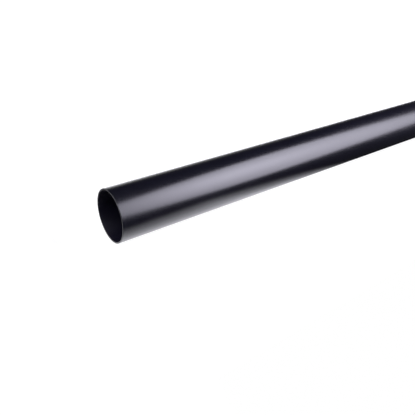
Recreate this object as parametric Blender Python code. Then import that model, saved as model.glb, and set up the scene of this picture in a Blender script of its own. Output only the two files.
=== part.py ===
"""A length of round rainwater downpipe: a plain-ended extruded tube that lies on its side.

The axis runs along X. The pipe rests on the plane z = 0, with the middle of its length over the origin.
The round is made of flat sides, one of which faces down. Every diameter is true across opposite flats.
"""
import math

import bmesh
import bpy

MM = 0.001

# Driving dimensions, in metres
OUTSIDE_DIAMETER = 68 * MM
WALL = 1.8 * MM
LENGTH = 2500 * MM
# Both ends are sawn square, and the saw's burr is taken off, which leaves a fine arris on each edge
ARRIS = 0.3 * MM
# An arris takes no more than this share of the wall, so that a flat ring is left between two of them
LARGEST_ARRIS_SHARE = 0.25
# Flat sides round the pipe, whose corners stand 0.04 mm proud of the true circle
SIDES = 64
HALF_SIDE = math.pi / SIDES

# Black rigid PVC, as linear red, green, blue and alpha
PIPE_COLOUR = (0.0075, 0.0075, 0.0105, 1.0)
PIPE_ROUGHNESS = 0.3
# Edges sharper than this stay crisp between smooth-shaded faces
SHARP_EDGE = math.radians(30)


def wall_outline():
    """The wall cut lengthwise, as (along the axis, out from the axis) points in order round its edge."""
    outer = OUTSIDE_DIAMETER / 2
    inner = outer - WALL
    half = LENGTH / 2
    arris = min(ARRIS, WALL * LARGEST_ARRIS_SHARE)
    return [
        (-half + arris, outer),
        (half - arris, outer),
        (half, outer - arris),
        (half, inner + arris),
        (half - arris, inner),
        (-half + arris, inner),
        (-half, inner + arris),
        (-half, outer - arris),
    ]


def turned_tube(name, outline):
    """A closed mesh, made by turning the outline once round the X axis from one end of the lowest flat side."""
    work = bmesh.new()
    verts = [work.verts.new((along, out * math.tan(HALF_SIDE), -out)) for along, out in outline]
    edges = [work.edges.new((a, b)) for a, b in zip(verts, verts[1:] + verts[:1])]
    bmesh.ops.spin(
        work,
        geom=verts + edges,
        cent=(0, 0, 0),
        axis=(1, 0, 0),
        angle=math.tau,
        steps=SIDES,
        use_merge=True,
    )
    bmesh.ops.recalc_face_normals(work, faces=work.faces)
    mesh = bpy.data.meshes.new(name)
    work.to_mesh(mesh)
    work.free()
    mesh.shade_smooth()
    mesh.set_sharp_from_angle(angle=SHARP_EDGE)
    return mesh


def black_pvc():
    material = bpy.data.materials.new("black_pvc")
    material.use_nodes = True
    shader = material.node_tree.nodes["Principled BSDF"]
    shader.inputs["Base Color"].default_value = PIPE_COLOUR
    shader.inputs["Roughness"].default_value = PIPE_ROUGHNESS
    shader.inputs["Metallic"].default_value = 0.0
    material.diffuse_color = PIPE_COLOUR
    return material


def make_downpipe():
    """The pipe's own origin is the middle of its axis, so it is raised by its radius to lie on the floor."""
    pipe = bpy.data.objects.new("downpipe", turned_tube("downpipe", wall_outline()))
    pipe.data.materials.append(black_pvc())
    pipe.location = (0, 0, OUTSIDE_DIAMETER / 2)
    bpy.context.scene.collection.objects.link(pipe)


for old in list(bpy.data.objects):
    bpy.data.objects.remove(old, do_unlink=True)
make_downpipe()
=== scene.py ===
"""A length of black round rainwater downpipe lying on a white table, lit by one big softbox.

The pipe's axis runs along X, and the table's top is the plane z = 0. The camera stands at the pipe's near end,
at -X, and looks along it from the front, which is -Y. Two black cards lie on the table, unseen by the camera, and
a window high on the left and a low wall behind give the pipe's edges and its cut end their light.
"""
import math

import bmesh
import bpy
from mathutils import Matrix, Vector, noise


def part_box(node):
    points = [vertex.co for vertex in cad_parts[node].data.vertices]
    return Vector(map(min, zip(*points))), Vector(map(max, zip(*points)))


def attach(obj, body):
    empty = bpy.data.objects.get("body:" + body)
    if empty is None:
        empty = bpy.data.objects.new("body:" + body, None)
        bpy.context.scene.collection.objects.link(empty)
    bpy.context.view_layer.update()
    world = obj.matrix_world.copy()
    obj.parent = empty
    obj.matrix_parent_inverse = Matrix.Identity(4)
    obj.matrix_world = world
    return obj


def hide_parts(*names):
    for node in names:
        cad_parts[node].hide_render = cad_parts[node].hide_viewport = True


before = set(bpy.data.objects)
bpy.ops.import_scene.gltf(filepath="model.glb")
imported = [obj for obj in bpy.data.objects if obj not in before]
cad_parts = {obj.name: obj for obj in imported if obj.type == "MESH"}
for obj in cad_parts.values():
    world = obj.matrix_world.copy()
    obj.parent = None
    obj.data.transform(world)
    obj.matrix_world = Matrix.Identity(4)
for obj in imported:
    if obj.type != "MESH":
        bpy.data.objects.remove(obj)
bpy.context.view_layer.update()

MM = 0.001

# The pipe, in metres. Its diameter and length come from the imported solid.
LOWEST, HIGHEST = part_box("downpipe")
OUTER = (HIGHEST.z - LOWEST.z) / 2
HALF_LENGTH = (HIGHEST.x - LOWEST.x) / 2
MIDDLE = (LOWEST + HIGHEST) / 2
WALL = 1.8 * MM
INNER = OUTER - WALL

# How finely the pipe's mesh is divided
SIDES = 256
ARRIS_STEPS = 5
CUT_FACE_STEPS = 4
RING_SPACING = 60 * MM
HOLDING_RING = 0.2 * MM
# A face whose normal lies this squarely along the pipe is part of a cut face
SQUARELY_ALONG = 0.9
# The mesh's material slots
SKIN_SLOT, CUT_FACE_SLOT, BORE_SLOT = range(3)

# A knife has rounded the saw cut's two edges by hand, so that their width wanders a little round the end
ARRIS = 0.3 * MM
ARRIS_WANDER = 0.09 * MM
ARRIS_WANDER_LENGTH = 9 * MM
# The saw's teeth leave shallow steps across the cut face
SAW_STEP_DEPTH = 0.03 * MM
SAW_STEP_LENGTH = 1.4 * MM

# The camera, from the middle of the near end, and the picture that it takes
CAMERA_FROM_NEAR_END = Vector((-0.2090, -0.4762, 0.2817))
CAMERA_HEADING = math.radians(36.57)
CAMERA_DIP = math.radians(21.88)
FOCAL_PIXELS = 485.60
# The picture is cut from a larger one, whose middle lies this far above its own, in pixels
MIDDLE_ABOVE = 52.5
PICTURE_PIXELS = 415
FILM_WIDTH = 36.0

# The softbox leans over the pipe at this angle. Its middle is this far from the pipe's axis, and this far along
# from the near end.
SOFTBOX_RANGE = 1.5
SOFTBOX_HEIGHT_ANGLE = math.radians(37.82)
SOFTBOX_ALONG = 2.000
SOFTBOX_HALF_WIDTH = 1.758
SOFTBOX_HALF_HEIGHT = 1.660
# It hangs by a corner, and its corners are rounded. With x and y as shares of its half width and half height, its
# outline is where x ** power + y ** power reaches 1. A power of 1 would be a plain diamond, and 2 an ellipse.
SOFTBOX_OUTLINE_POWER = 1.39
SOFTBOX_COLOUR = "#F0EEFF"
# Its cloth is brightest in a patch in front of the flash tube, which sits near its left end, and dims towards both
# ends by this share. The patch's place and spread are shares of the box's whole width and height.
SOFTBOX_GLOW = 7.02
SOFTBOX_PATCH_GLOW = 8.02
SOFTBOX_PATCH_PLACE = (0.224, 0.529)
SOFTBOX_PATCH_SPREAD = (0.181, 0.250)
SOFTBOX_END_DIMMING = 0.95

# The table is this large, and ends this far in front of the pipe, so that the softbox's foot shines past its edge
TABLE_SIZE = 14.0
TABLE_FRONT = -0.24
# The front card lies before the pipe and darkens its lower reflection. Its edge is given in millimetres, as
# distances along the pipe from the near end and across from the pipe's axis.
FRONT_CARD_EDGE = ((-400, -31), (0, -31), (150, -41), (300, -6), (400, 19), (480, 30), (2600, 30))
FRONT_CARD_HEIGHT = 0.4 * MM
# The side card lies to the left of the near end and darkens its cut face and bore. It starts this far from the
# end, and reaches as far to the left as it does to the back.
SIDE_CARD_EDGE = -8 * MM
SIDE_CARD_REACH = 1.6
SIDE_CARD_HEIGHT = 0.8 * MM
# Over this width a card's edge fades in
CARD_FEATHER = 47 * MM

# The room's light, where white is 1. The left wall is dim below its window, and the low wall behind the pipe dims
# to this share of its light towards the right.
LEFT_WALL_GLOW = 0.1
WINDOW_GLOW = 2.5
LOW_WALL_GLOW = 1.3
LOW_WALL_RIGHT_SHARE = 0.06
# Each of them fades between two values of one part of the direction that it is seen in. The parts run from -1 to 1:
# X to the right, Y to the back and Z up.
LEFT_WALL_FADE_X = (0.18, 0.02)
WINDOW_FADE_Y = (0.6, 0.3)
WINDOW_FADE_Z = (0.3, 0.7)
LOW_WALL_FADE_X = (0.3, 0.8)
LOW_WALL_FADE_Y = (-0.1, 0.1)
LOW_WALL_FADE_Z = (0.0, 0.45)


def linear(hex_colour):
    """An sRGB hex colour, such as "#1A2B3C", as linear red, green, blue and alpha."""
    channels = [int(hex_colour[i:i + 2], 16) / 255 for i in (1, 3, 5)]
    return tuple(c / 12.92 if c <= 0.04045 else ((c + 0.055) / 1.055) ** 2.4 for c in channels) + (1.0,)


def add(tree, kind, inputs=None, **settings):
    """Adds a node with its settings. Each input is given as a number, a colour or the socket that it is linked to."""
    node = tree.nodes.new(kind)
    for name, value in settings.items():
        setattr(node, name, value)
    for name, value in (inputs or {}).items():
        if isinstance(value, bpy.types.NodeSocket):
            tree.links.new(value, node.inputs[name])
        else:
            node.inputs[name].default_value = value
    return node


def empty_tree(owner):
    """The node tree of a material or world, with nothing in it yet."""
    owner.use_nodes = True
    owner.node_tree.nodes.clear()
    return owner.node_tree


# Materials

# Rigid PVC's refractive index
PVC_IOR = 1.54


def extruded_pvc_u():
    """Black PVC-U as it leaves the extruder's cooling sleeve: a close satin gloss with a faint haze.

    Carbon black makes the body near black, a touch blue. The die draws very fine lines along the pipe.
    Sliding in the rack leaves sparse hairline scuffs, which are a little paler and duller than the skin.
    """
    material = bpy.data.materials.new("extruded_pvc_u")
    tree = empty_tree(material)
    place = add(tree, "ShaderNodeTexCoord").outputs["Object"]

    # Die lines lie about 2 mm apart round the pipe and are 0.4 m long
    drawn = add(tree, "ShaderNodeMapping", {"Vector": place, "Scale": (2.5, 500, 500)}).outputs["Vector"]
    die_lines = add(tree, "ShaderNodeTexNoise", {"Vector": drawn, "Scale": 1, "Detail": 2}).outputs["Fac"]

    # The haze changes over about 25 mm
    haze = add(tree, "ShaderNodeTexNoise", {"Vector": place, "Scale": 40, "Detail": 3}).outputs["Fac"]

    # Scuffs are 0.7 mm wide and 25 mm long, drawn a little coarse, in patches 60 mm across
    dragged = add(
        tree, "ShaderNodeMapping", {"Vector": place, "Rotation": (0, 0.02, 0.05), "Scale": (40, 1400, 1400)}
    ).outputs["Vector"]
    hairs = add(tree, "ShaderNodeTexNoise", {"Vector": dragged, "Scale": 1, "Detail": 1}).outputs["Fac"]
    hair = add(tree, "ShaderNodeMapRange", {"Value": hairs, "From Min": 0.74, "From Max": 0.84}).outputs["Result"]
    patches = add(tree, "ShaderNodeTexNoise", {"Vector": place, "Scale": 16, "Detail": 1}).outputs["Fac"]
    patch = add(tree, "ShaderNodeMapRange", {"Value": patches, "From Min": 0.5, "From Max": 0.7}).outputs["Result"]
    scuff = add(tree, "ShaderNodeMath", {0: hair, 1: patch}, operation="MULTIPLY").outputs["Value"]

    body = add(
        tree, "ShaderNodeMixRGB", {"Fac": haze, "Color1": linear("#080810"), "Color2": linear("#0C0C14")}
    ).outputs["Color"]
    colour = add(
        tree, "ShaderNodeMixRGB", {"Fac": scuff, "Color1": body, "Color2": linear("#1C1C22")}
    ).outputs["Color"]
    skin = add(
        tree, "ShaderNodeMapRange", {"Value": haze, "From Min": 0.3, "From Max": 0.7, "To Min": 0.24, "To Max": 0.255}
    ).outputs["Result"]
    roughness = add(
        tree, "ShaderNodeMath", {0: scuff, 1: 0.05, 2: skin}, operation="MULTIPLY_ADD"
    ).outputs["Value"]
    relief = add(
        tree, "ShaderNodeBump", {"Height": die_lines, "Strength": 1.0, "Distance": 0.012 * MM}
    ).outputs["Normal"]
    shader = add(
        tree,
        "ShaderNodeBsdfPrincipled",
        {"Base Color": colour, "Roughness": roughness, "IOR": PVC_IOR, "Normal": relief},
    )
    add(tree, "ShaderNodeOutputMaterial", {"Surface": shader.outputs["BSDF"]})
    return material


def bore_pvc_u():
    """The bore's wall, black PVC-U that cooled in air: duller than the skin, and rippled a little along the pipe. Its
    colours are darker and more violet than the skin's, which is painted shade for the pipe's dim inside; the ripples'
    changes of tone are its own.
    """
    material = bpy.data.materials.new("bore_pvc_u")
    tree = empty_tree(material)
    place = add(tree, "ShaderNodeTexCoord").outputs["Object"]

    # Ripples are about 12 mm wide and 120 mm long
    drawn = add(tree, "ShaderNodeMapping", {"Vector": place, "Scale": (8, 80, 80)}).outputs["Vector"]
    ripples = add(tree, "ShaderNodeTexNoise", {"Vector": drawn, "Scale": 1, "Detail": 3}).outputs["Fac"]
    # Painted shade: both colours are darker and more violet than the skin's, for the dim inside of the pipe
    colour = add(
        tree, "ShaderNodeMixRGB", {"Fac": ripples, "Color1": linear("#070416"), "Color2": linear("#0A071B")}
    ).outputs["Color"]
    roughness = add(
        tree, "ShaderNodeMapRange", {"Value": ripples, "To Min": 0.36, "To Max": 0.46}
    ).outputs["Result"]
    relief = add(
        tree, "ShaderNodeBump", {"Height": ripples, "Strength": 1.0, "Distance": 0.1 * MM}
    ).outputs["Normal"]
    shader = add(
        tree,
        "ShaderNodeBsdfPrincipled",
        {"Base Color": colour, "Roughness": roughness, "IOR": PVC_IOR, "Normal": relief},
    )
    add(tree, "ShaderNodeOutputMaterial", {"Surface": shader.outputs["BSDF"]})
    return material


def sawn_pvc_u():
    """Black PVC-U cut with a fine saw: a matt face, paler than the skin, with the teeth's marks across it."""
    material = bpy.data.materials.new("sawn_pvc_u")
    tree = empty_tree(material)
    place = add(tree, "ShaderNodeTexCoord").outputs["Object"]

    # The teeth score the face about every 0.5 mm, straight across the end at a slant
    scored = add(
        tree, "ShaderNodeMapping", {"Vector": place, "Rotation": (0.35, 0, 0), "Scale": (1, 150, 2000)}
    ).outputs["Vector"]
    scores = add(tree, "ShaderNodeTexNoise", {"Vector": scored, "Scale": 1, "Detail": 3}).outputs["Fac"]
    colour = add(
        tree, "ShaderNodeMixRGB", {"Fac": scores, "Color1": linear("#26262C"), "Color2": linear("#424249")}
    ).outputs["Color"]
    relief = add(
        tree, "ShaderNodeBump", {"Height": scores, "Strength": 1.0, "Distance": 0.05 * MM}
    ).outputs["Normal"]
    shader = add(
        tree,
        "ShaderNodeBsdfPrincipled",
        {"Base Color": colour, "Roughness": 0.5, "IOR": PVC_IOR, "Normal": relief},
    )
    add(tree, "ShaderNodeOutputMaterial", {"Surface": shader.outputs["BSDF"]})
    return material


def white_laminate():
    """The table: matt white laminate. It shows as pure white, and what the lamps give it is added for the shadow."""
    material = bpy.data.materials.new("white_laminate")
    tree = empty_tree(material)
    ray = add(tree, "ShaderNodeLightPath")
    seen = add(
        tree, "ShaderNodeMath", {0: ray.outputs["Is Camera Ray"], 1: ray.outputs["Is Glossy Ray"]}, operation="ADD"
    ).outputs["Value"]
    shown = add(
        tree, "ShaderNodeMath", {0: seen, 1: ray.outputs["Is Transmission Ray"]}, operation="ADD"
    ).outputs["Value"]
    surface = add(
        tree,
        "ShaderNodeMixRGB",
        {"Fac": ray.outputs["Is Camera Ray"], "Color1": linear("#E6E6EA"), "Color2": linear("#7A7A7A")},
    ).outputs["Color"]
    shader = add(
        tree,
        "ShaderNodeBsdfPrincipled",
        {
            "Base Color": surface,
            "Roughness": 0.9,
            "Specular IOR Level": 0.0,
            "Emission Color": linear("#F6F6F6"),
            "Emission Strength": shown,
        },
    )
    add(tree, "ShaderNodeOutputMaterial", {"Surface": shader.outputs["BSDF"]})
    return material


def black_velvet_card():
    """The cards: black velvet on board, which sends almost no light back. An edge fades out where "cover" falls."""
    material = bpy.data.materials.new("black_velvet_card")
    tree = empty_tree(material)
    cover = add(tree, "ShaderNodeAttribute", attribute_name="cover").outputs["Fac"]
    shader = add(
        tree,
        "ShaderNodeBsdfPrincipled",
        {"Base Color": linear("#222222"), "Roughness": 1.0, "Specular IOR Level": 0.0, "Alpha": cover},
    )
    add(tree, "ShaderNodeOutputMaterial", {"Surface": shader.outputs["BSDF"]})
    return material


# The pipe


def stations(start, stop):
    """Places along a wall from start to stop, a ring's spacing apart, with one close to each arris.

    The close ones keep the arris's slant out of the wall's shading.
    """
    inset = math.copysign(ARRIS + ARRIS_WANDER + HOLDING_RING, stop - start)
    first, last = start + inset, stop - inset
    count = round(abs(last - first) / RING_SPACING)
    return [first + (last - first) * i / count for i in range(count + 1)]


def arris(along, out, towards_end, towards_air, start):
    """A quarter round between a wall and the cut face, as fractions that the arris's own width scales."""
    points = []
    for i in range(ARRIS_STEPS + 1):
        turn = math.pi / 2 * (i / ARRIS_STEPS if start == "wall" else 1 - i / ARRIS_STEPS)
        # How far the point lies back from the cut face and from the wall, as shares of the arris's width
        points.append((along, out, towards_end, towards_air, 1 - math.sin(turn), 1 - math.cos(turn)))
    return points


def cut_face(along, towards_end, start, stop):
    """Places across the flat of a cut face, between its two arrises."""
    inset = ARRIS * (1 if stop > start else -1)
    low, high = start + inset, stop - inset
    return [
        (along, low + (high - low) * i / CUT_FACE_STEPS, towards_end, 0, 0, 0)
        for i in range(1, CUT_FACE_STEPS)
    ]


def wall_outline():
    """The wall cut lengthwise, in order round its edge.

    Each point is (along, out, direction of the end, direction of the open air, share back along, share back out).
    """
    end = HALF_LENGTH
    outline = [(x, OUTER, 0, 0, 0, 0) for x in stations(-end, end)]
    outline += arris(end, OUTER, 1, 1, "wall")
    outline += cut_face(end, 1, OUTER, INNER)
    outline += arris(end, INNER, 1, -1, "face")
    outline += [(x, INNER, 0, 0, 0, 0) for x in stations(end, -end)]
    outline += arris(-end, INNER, -1, -1, "wall")
    outline += cut_face(-end, -1, INNER, OUTER)
    outline += arris(-end, OUTER, -1, 1, "face")
    return outline


def arris_width(place):
    """The knife's cut at a place on an end, which wanders with the hand."""
    return ARRIS + ARRIS_WANDER * noise.noise(place / ARRIS_WANDER_LENGTH)


def pipe_mesh():
    """The tube as one closed mesh, its axis along X through its own origin."""
    outline = wall_outline()
    work = bmesh.new()
    rings = []
    for along, out, towards_end, towards_air, back_along, back_out in outline:
        ring = []
        for side in range(SIDES):
            angle = math.tau * (side + 0.5) / SIDES - math.pi / 2
            round_axis = Vector((0, math.cos(angle), math.sin(angle)))
            width = arris_width(Vector((along, 0, 0)) + round_axis * OUTER)
            x = along - towards_end * width * back_along
            radius = out - towards_air * width * back_out
            if towards_end and not towards_air:
                step = Vector((along, 0, round_axis.z * radius / SAW_STEP_LENGTH))
                x -= towards_end * SAW_STEP_DEPTH * (0.5 + 0.5 * noise.noise(step))
            ring.append(work.verts.new(Vector((x, 0, 0)) + round_axis * radius))
        rings.append(ring)
    for ring, after in zip(rings, rings[1:] + rings[:1]):
        for side in range(SIDES):
            beside = (side + 1) % SIDES
            work.faces.new((ring[side], ring[beside], after[beside], after[side]))
    bmesh.ops.recalc_face_normals(work, faces=work.faces)
    mesh = bpy.data.meshes.new("downpipe_tube")
    for material in (extruded_pvc_u(), sawn_pvc_u(), bore_pvc_u()):
        mesh.materials.append(material)
    for face in work.faces:
        face.smooth = True
        outward = face.calc_center_median()
        outward.x = 0
        if abs(face.normal.x) > SQUARELY_ALONG:
            face.material_index = CUT_FACE_SLOT
        elif outward.dot(face.normal) < 0:
            face.material_index = BORE_SLOT
        else:
            face.material_index = SKIN_SLOT
    work.to_mesh(mesh)
    work.free()
    return mesh


pipe = bpy.data.objects.new("downpipe_tube", pipe_mesh())
pipe.location = MIDDLE
bpy.context.scene.collection.objects.link(pipe)
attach(pipe, "root")
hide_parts("downpipe")


# The table and the cards


def flat_mesh(name, corners, faces, material):
    """A flat thing of the studio, which is no part of the pipe."""
    mesh = bpy.data.meshes.new(name)
    mesh.from_pydata(corners, [], faces)
    mesh.materials.append(material)
    item = bpy.data.objects.new(name, mesh)
    bpy.context.scene.collection.objects.link(item)
    return item


half = TABLE_SIZE / 2
flat_mesh(
    "table",
    [(-half, TABLE_FRONT, 0), (half, TABLE_FRONT, 0), (half, half, 0), (-half, half, 0)],
    [(0, 1, 2, 3)],
    white_laminate(),
)


def card(name, edge, away, far_edge):
    """A card from one edge to another, which fades in over CARD_FEATHER in the direction away from the first.

    The camera doesn't see it and it casts no shadow, but reflections and bounced light meet it.
    """
    corners = [corner for near, far in zip(edge, far_edge) for corner in (near, near + away * CARD_FEATHER, far)]
    # Each station of the edge has three corners, and two faces lie between it and the next
    faces = [
        (3 * station + row, 3 * station + row + 1, 3 * station + row + 4, 3 * station + row + 3)
        for station in range(len(edge) - 1)
        for row in range(2)
    ]
    item = flat_mesh(name, corners, faces, black_velvet_card())
    cover = item.data.attributes.new("cover", "FLOAT", "POINT")
    cover.data.foreach_set("value", [0.0, 1.0, 1.0] * len(edge))
    item.visible_camera = False
    item.visible_shadow = False


front_edge = [Vector((LOWEST.x + along * MM, across * MM, FRONT_CARD_HEIGHT)) for along, across in FRONT_CARD_EDGE]
front_limit = [Vector((place.x, TABLE_FRONT, place.z)) for place in front_edge]
card("front_card", front_edge, Vector((0, -1, 0)), front_limit)

side_edge = [
    Vector((LOWEST.x + SIDE_CARD_EDGE, across, SIDE_CARD_HEIGHT)) for across in (TABLE_FRONT, SIDE_CARD_REACH)
]
side_limit = [place - Vector((SIDE_CARD_REACH, 0, 0)) for place in side_edge]
card("side_card", side_edge, Vector((-1, 0, 0)), side_limit)


# Light


def softbox():
    """One big softbox in front of the pipe and to the right, a metre and a half away, which hangs by a corner."""
    lamp = bpy.data.lights.new("softbox", "AREA")
    lamp.shape = "ELLIPSE"
    lamp.size = 2 * SOFTBOX_HALF_WIDTH
    lamp.size_y = 2 * SOFTBOX_HALF_HEIGHT
    # At this power a strength of 1 in the lamp's own nodes is as bright as white
    lamp.energy = math.pi * math.pi * SOFTBOX_HALF_WIDTH * SOFTBOX_HALF_HEIGHT
    tree = empty_tree(lamp)
    place = add(tree, "ShaderNodeTexCoord").outputs["UV"]

    # The patch's light falls off as a bell curve
    from_patch = add(
        tree, "ShaderNodeVectorMath", {0: place, 1: (*SOFTBOX_PATCH_PLACE, 0)}, operation="SUBTRACT"
    ).outputs["Vector"]
    spreads = add(
        tree, "ShaderNodeVectorMath", {0: from_patch, 1: (*SOFTBOX_PATCH_SPREAD, 1)}, operation="DIVIDE"
    ).outputs["Vector"]
    distance = add(
        tree, "ShaderNodeVectorMath", {0: spreads, 1: spreads}, operation="DOT_PRODUCT"
    ).outputs["Value"]
    fall = add(tree, "ShaderNodeMath", {0: math.exp(-1), 1: distance}, operation="POWER").outputs["Value"]
    glow = add(
        tree, "ShaderNodeMath", {0: fall, 1: SOFTBOX_PATCH_GLOW, 2: SOFTBOX_GLOW}, operation="MULTIPLY_ADD"
    ).outputs["Value"]

    # The box dims with the square of the distance from its middle towards its two ends
    from_middle = add(
        tree, "ShaderNodeVectorMath", {0: place, 1: (2, 2, 0), 2: (-1, -1, 0)}, operation="MULTIPLY_ADD"
    ).outputs["Vector"]
    sides = add(tree, "ShaderNodeSeparateXYZ", {"Vector": from_middle})
    squared = add(
        tree, "ShaderNodeMath", {0: sides.outputs["X"], 1: sides.outputs["X"]}, operation="MULTIPLY"
    ).outputs["Value"]
    dimmed = add(
        tree, "ShaderNodeMath", {0: squared, 1: -SOFTBOX_END_DIMMING, 2: 1.0}, operation="MULTIPLY_ADD"
    ).outputs["Value"]

    # Past its outline it is dark
    powers = []
    for axis in ("X", "Y"):
        share = add(tree, "ShaderNodeMath", {0: sides.outputs[axis]}, operation="ABSOLUTE").outputs["Value"]
        powers.append(
            add(tree, "ShaderNodeMath", {0: share, 1: SOFTBOX_OUTLINE_POWER}, operation="POWER").outputs["Value"]
        )
    reach = add(tree, "ShaderNodeMath", {0: powers[0], 1: powers[1]}, operation="ADD").outputs["Value"]
    inside = add(tree, "ShaderNodeMath", {0: reach, 1: 1.0}, operation="LESS_THAN").outputs["Value"]
    held_in = add(tree, "ShaderNodeMath", {0: dimmed, 1: inside}, operation="MULTIPLY").outputs["Value"]
    strength = add(tree, "ShaderNodeMath", {0: glow, 1: held_in}, operation="MULTIPLY").outputs["Value"]

    cloth = add(tree, "ShaderNodeEmission", {"Color": linear(SOFTBOX_COLOUR), "Strength": strength})
    add(tree, "ShaderNodeOutputLight", {"Surface": cloth.outputs["Emission"]})

    holder = bpy.data.objects.new("softbox", lamp)
    outward = Vector((0, -math.cos(SOFTBOX_HEIGHT_ANGLE), math.sin(SOFTBOX_HEIGHT_ANGLE)))
    near_end = Vector((LOWEST.x, 0, MIDDLE.z))
    middle = near_end + Vector((SOFTBOX_ALONG, 0, 0)) + outward * SOFTBOX_RANGE
    across = Vector((1, 0, 0))
    turn = Matrix((across, outward.cross(across), outward)).transposed()
    holder.matrix_world = Matrix.Translation(middle) @ turn.to_4x4()
    holder.visible_camera = False
    bpy.context.scene.collection.objects.link(holder)


def studio():
    """The room: white where the camera sees it, and otherwise dark but for two walls.

    The left wall has a window high up, which doesn't reach round to the back. The low wall stands behind the pipe.
    """
    world = bpy.data.worlds.new("studio")
    bpy.context.scene.world = world
    tree = empty_tree(world)
    direction = add(
        tree, "ShaderNodeSeparateXYZ", {"Vector": add(tree, "ShaderNodeTexCoord").outputs["Generated"]}
    )

    to_the_left = add(
        tree,
        "ShaderNodeMapRange",
        {"Value": direction.outputs["X"], "From Min": LEFT_WALL_FADE_X[0], "From Max": LEFT_WALL_FADE_X[1]},
        interpolation_type="SMOOTHSTEP",
    ).outputs["Result"]
    window = add(
        tree,
        "ShaderNodeMapRange",
        {
            "Value": direction.outputs["Z"],
            "From Min": WINDOW_FADE_Z[0],
            "From Max": WINDOW_FADE_Z[1],
            "To Min": 0.0,
            "To Max": WINDOW_GLOW,
        },
        interpolation_type="SMOOTHSTEP",
    ).outputs["Result"]
    short_of_the_back = add(
        tree,
        "ShaderNodeMapRange",
        {"Value": direction.outputs["Y"], "From Min": WINDOW_FADE_Y[0], "From Max": WINDOW_FADE_Y[1]},
        interpolation_type="SMOOTHSTEP",
    ).outputs["Result"]
    glow = add(
        tree, "ShaderNodeMath", {0: window, 1: short_of_the_back, 2: LEFT_WALL_GLOW}, operation="MULTIPLY_ADD"
    ).outputs["Value"]
    left_wall = add(tree, "ShaderNodeMath", {0: to_the_left, 1: glow}, operation="MULTIPLY").outputs["Value"]

    near_the_floor = add(
        tree,
        "ShaderNodeMapRange",
        {
            "Value": direction.outputs["Z"],
            "From Min": LOW_WALL_FADE_Z[0],
            "From Max": LOW_WALL_FADE_Z[1],
            "To Min": LOW_WALL_GLOW,
            "To Max": 0.0,
        },
        interpolation_type="SMOOTHSTEP",
    ).outputs["Result"]
    dimmer_to_the_right = add(
        tree,
        "ShaderNodeMapRange",
        {
            "Value": direction.outputs["X"],
            "From Min": LOW_WALL_FADE_X[0],
            "From Max": LOW_WALL_FADE_X[1],
            "To Min": 1.0,
            "To Max": LOW_WALL_RIGHT_SHARE,
        },
    ).outputs["Result"]
    low_wall = add(
        tree, "ShaderNodeMath", {0: near_the_floor, 1: dimmer_to_the_right}, operation="MULTIPLY"
    ).outputs["Value"]
    behind = add(
        tree,
        "ShaderNodeMapRange",
        {"Value": direction.outputs["Y"], "From Min": LOW_WALL_FADE_Y[0], "From Max": LOW_WALL_FADE_Y[1]},
        interpolation_type="SMOOTHSTEP",
    ).outputs["Result"]

    walls = add(tree, "ShaderNodeMath", {0: low_wall, 1: behind, 2: left_wall}, operation="MULTIPLY_ADD")
    camera_ray = add(tree, "ShaderNodeLightPath").outputs["Is Camera Ray"]
    strength = add(
        tree, "ShaderNodeMath", {0: walls.outputs["Value"], 1: camera_ray}, operation="MAXIMUM"
    ).outputs["Value"]
    background = add(tree, "ShaderNodeBackground", {"Color": (1, 1, 1, 1), "Strength": strength})
    add(tree, "ShaderNodeOutputWorld", {"Surface": background.outputs["Background"]})


softbox()
studio()


# Camera


def camera():
    """The camera, level from side to side, with no blur from its focus."""
    lens = bpy.data.cameras.new("camera")
    lens.sensor_width = FILM_WIDTH
    lens.lens = FOCAL_PIXELS * FILM_WIDTH / PICTURE_PIXELS
    lens.shift_y = -MIDDLE_ABOVE / PICTURE_PIXELS
    holder = bpy.data.objects.new("camera", lens)
    look = Vector((
        math.sin(CAMERA_HEADING) * math.cos(CAMERA_DIP),
        math.cos(CAMERA_HEADING) * math.cos(CAMERA_DIP),
        -math.sin(CAMERA_DIP),
    ))
    holder.rotation_mode = "QUATERNION"
    holder.rotation_quaternion = look.to_track_quat("-Z", "Y")
    holder.location = Vector((LOWEST.x, 0, MIDDLE.z)) + CAMERA_FROM_NEAR_END
    bpy.context.scene.collection.objects.link(holder)
    bpy.context.scene.camera = holder


camera()
bpy.context.scene.view_settings.view_transform = "Standard"
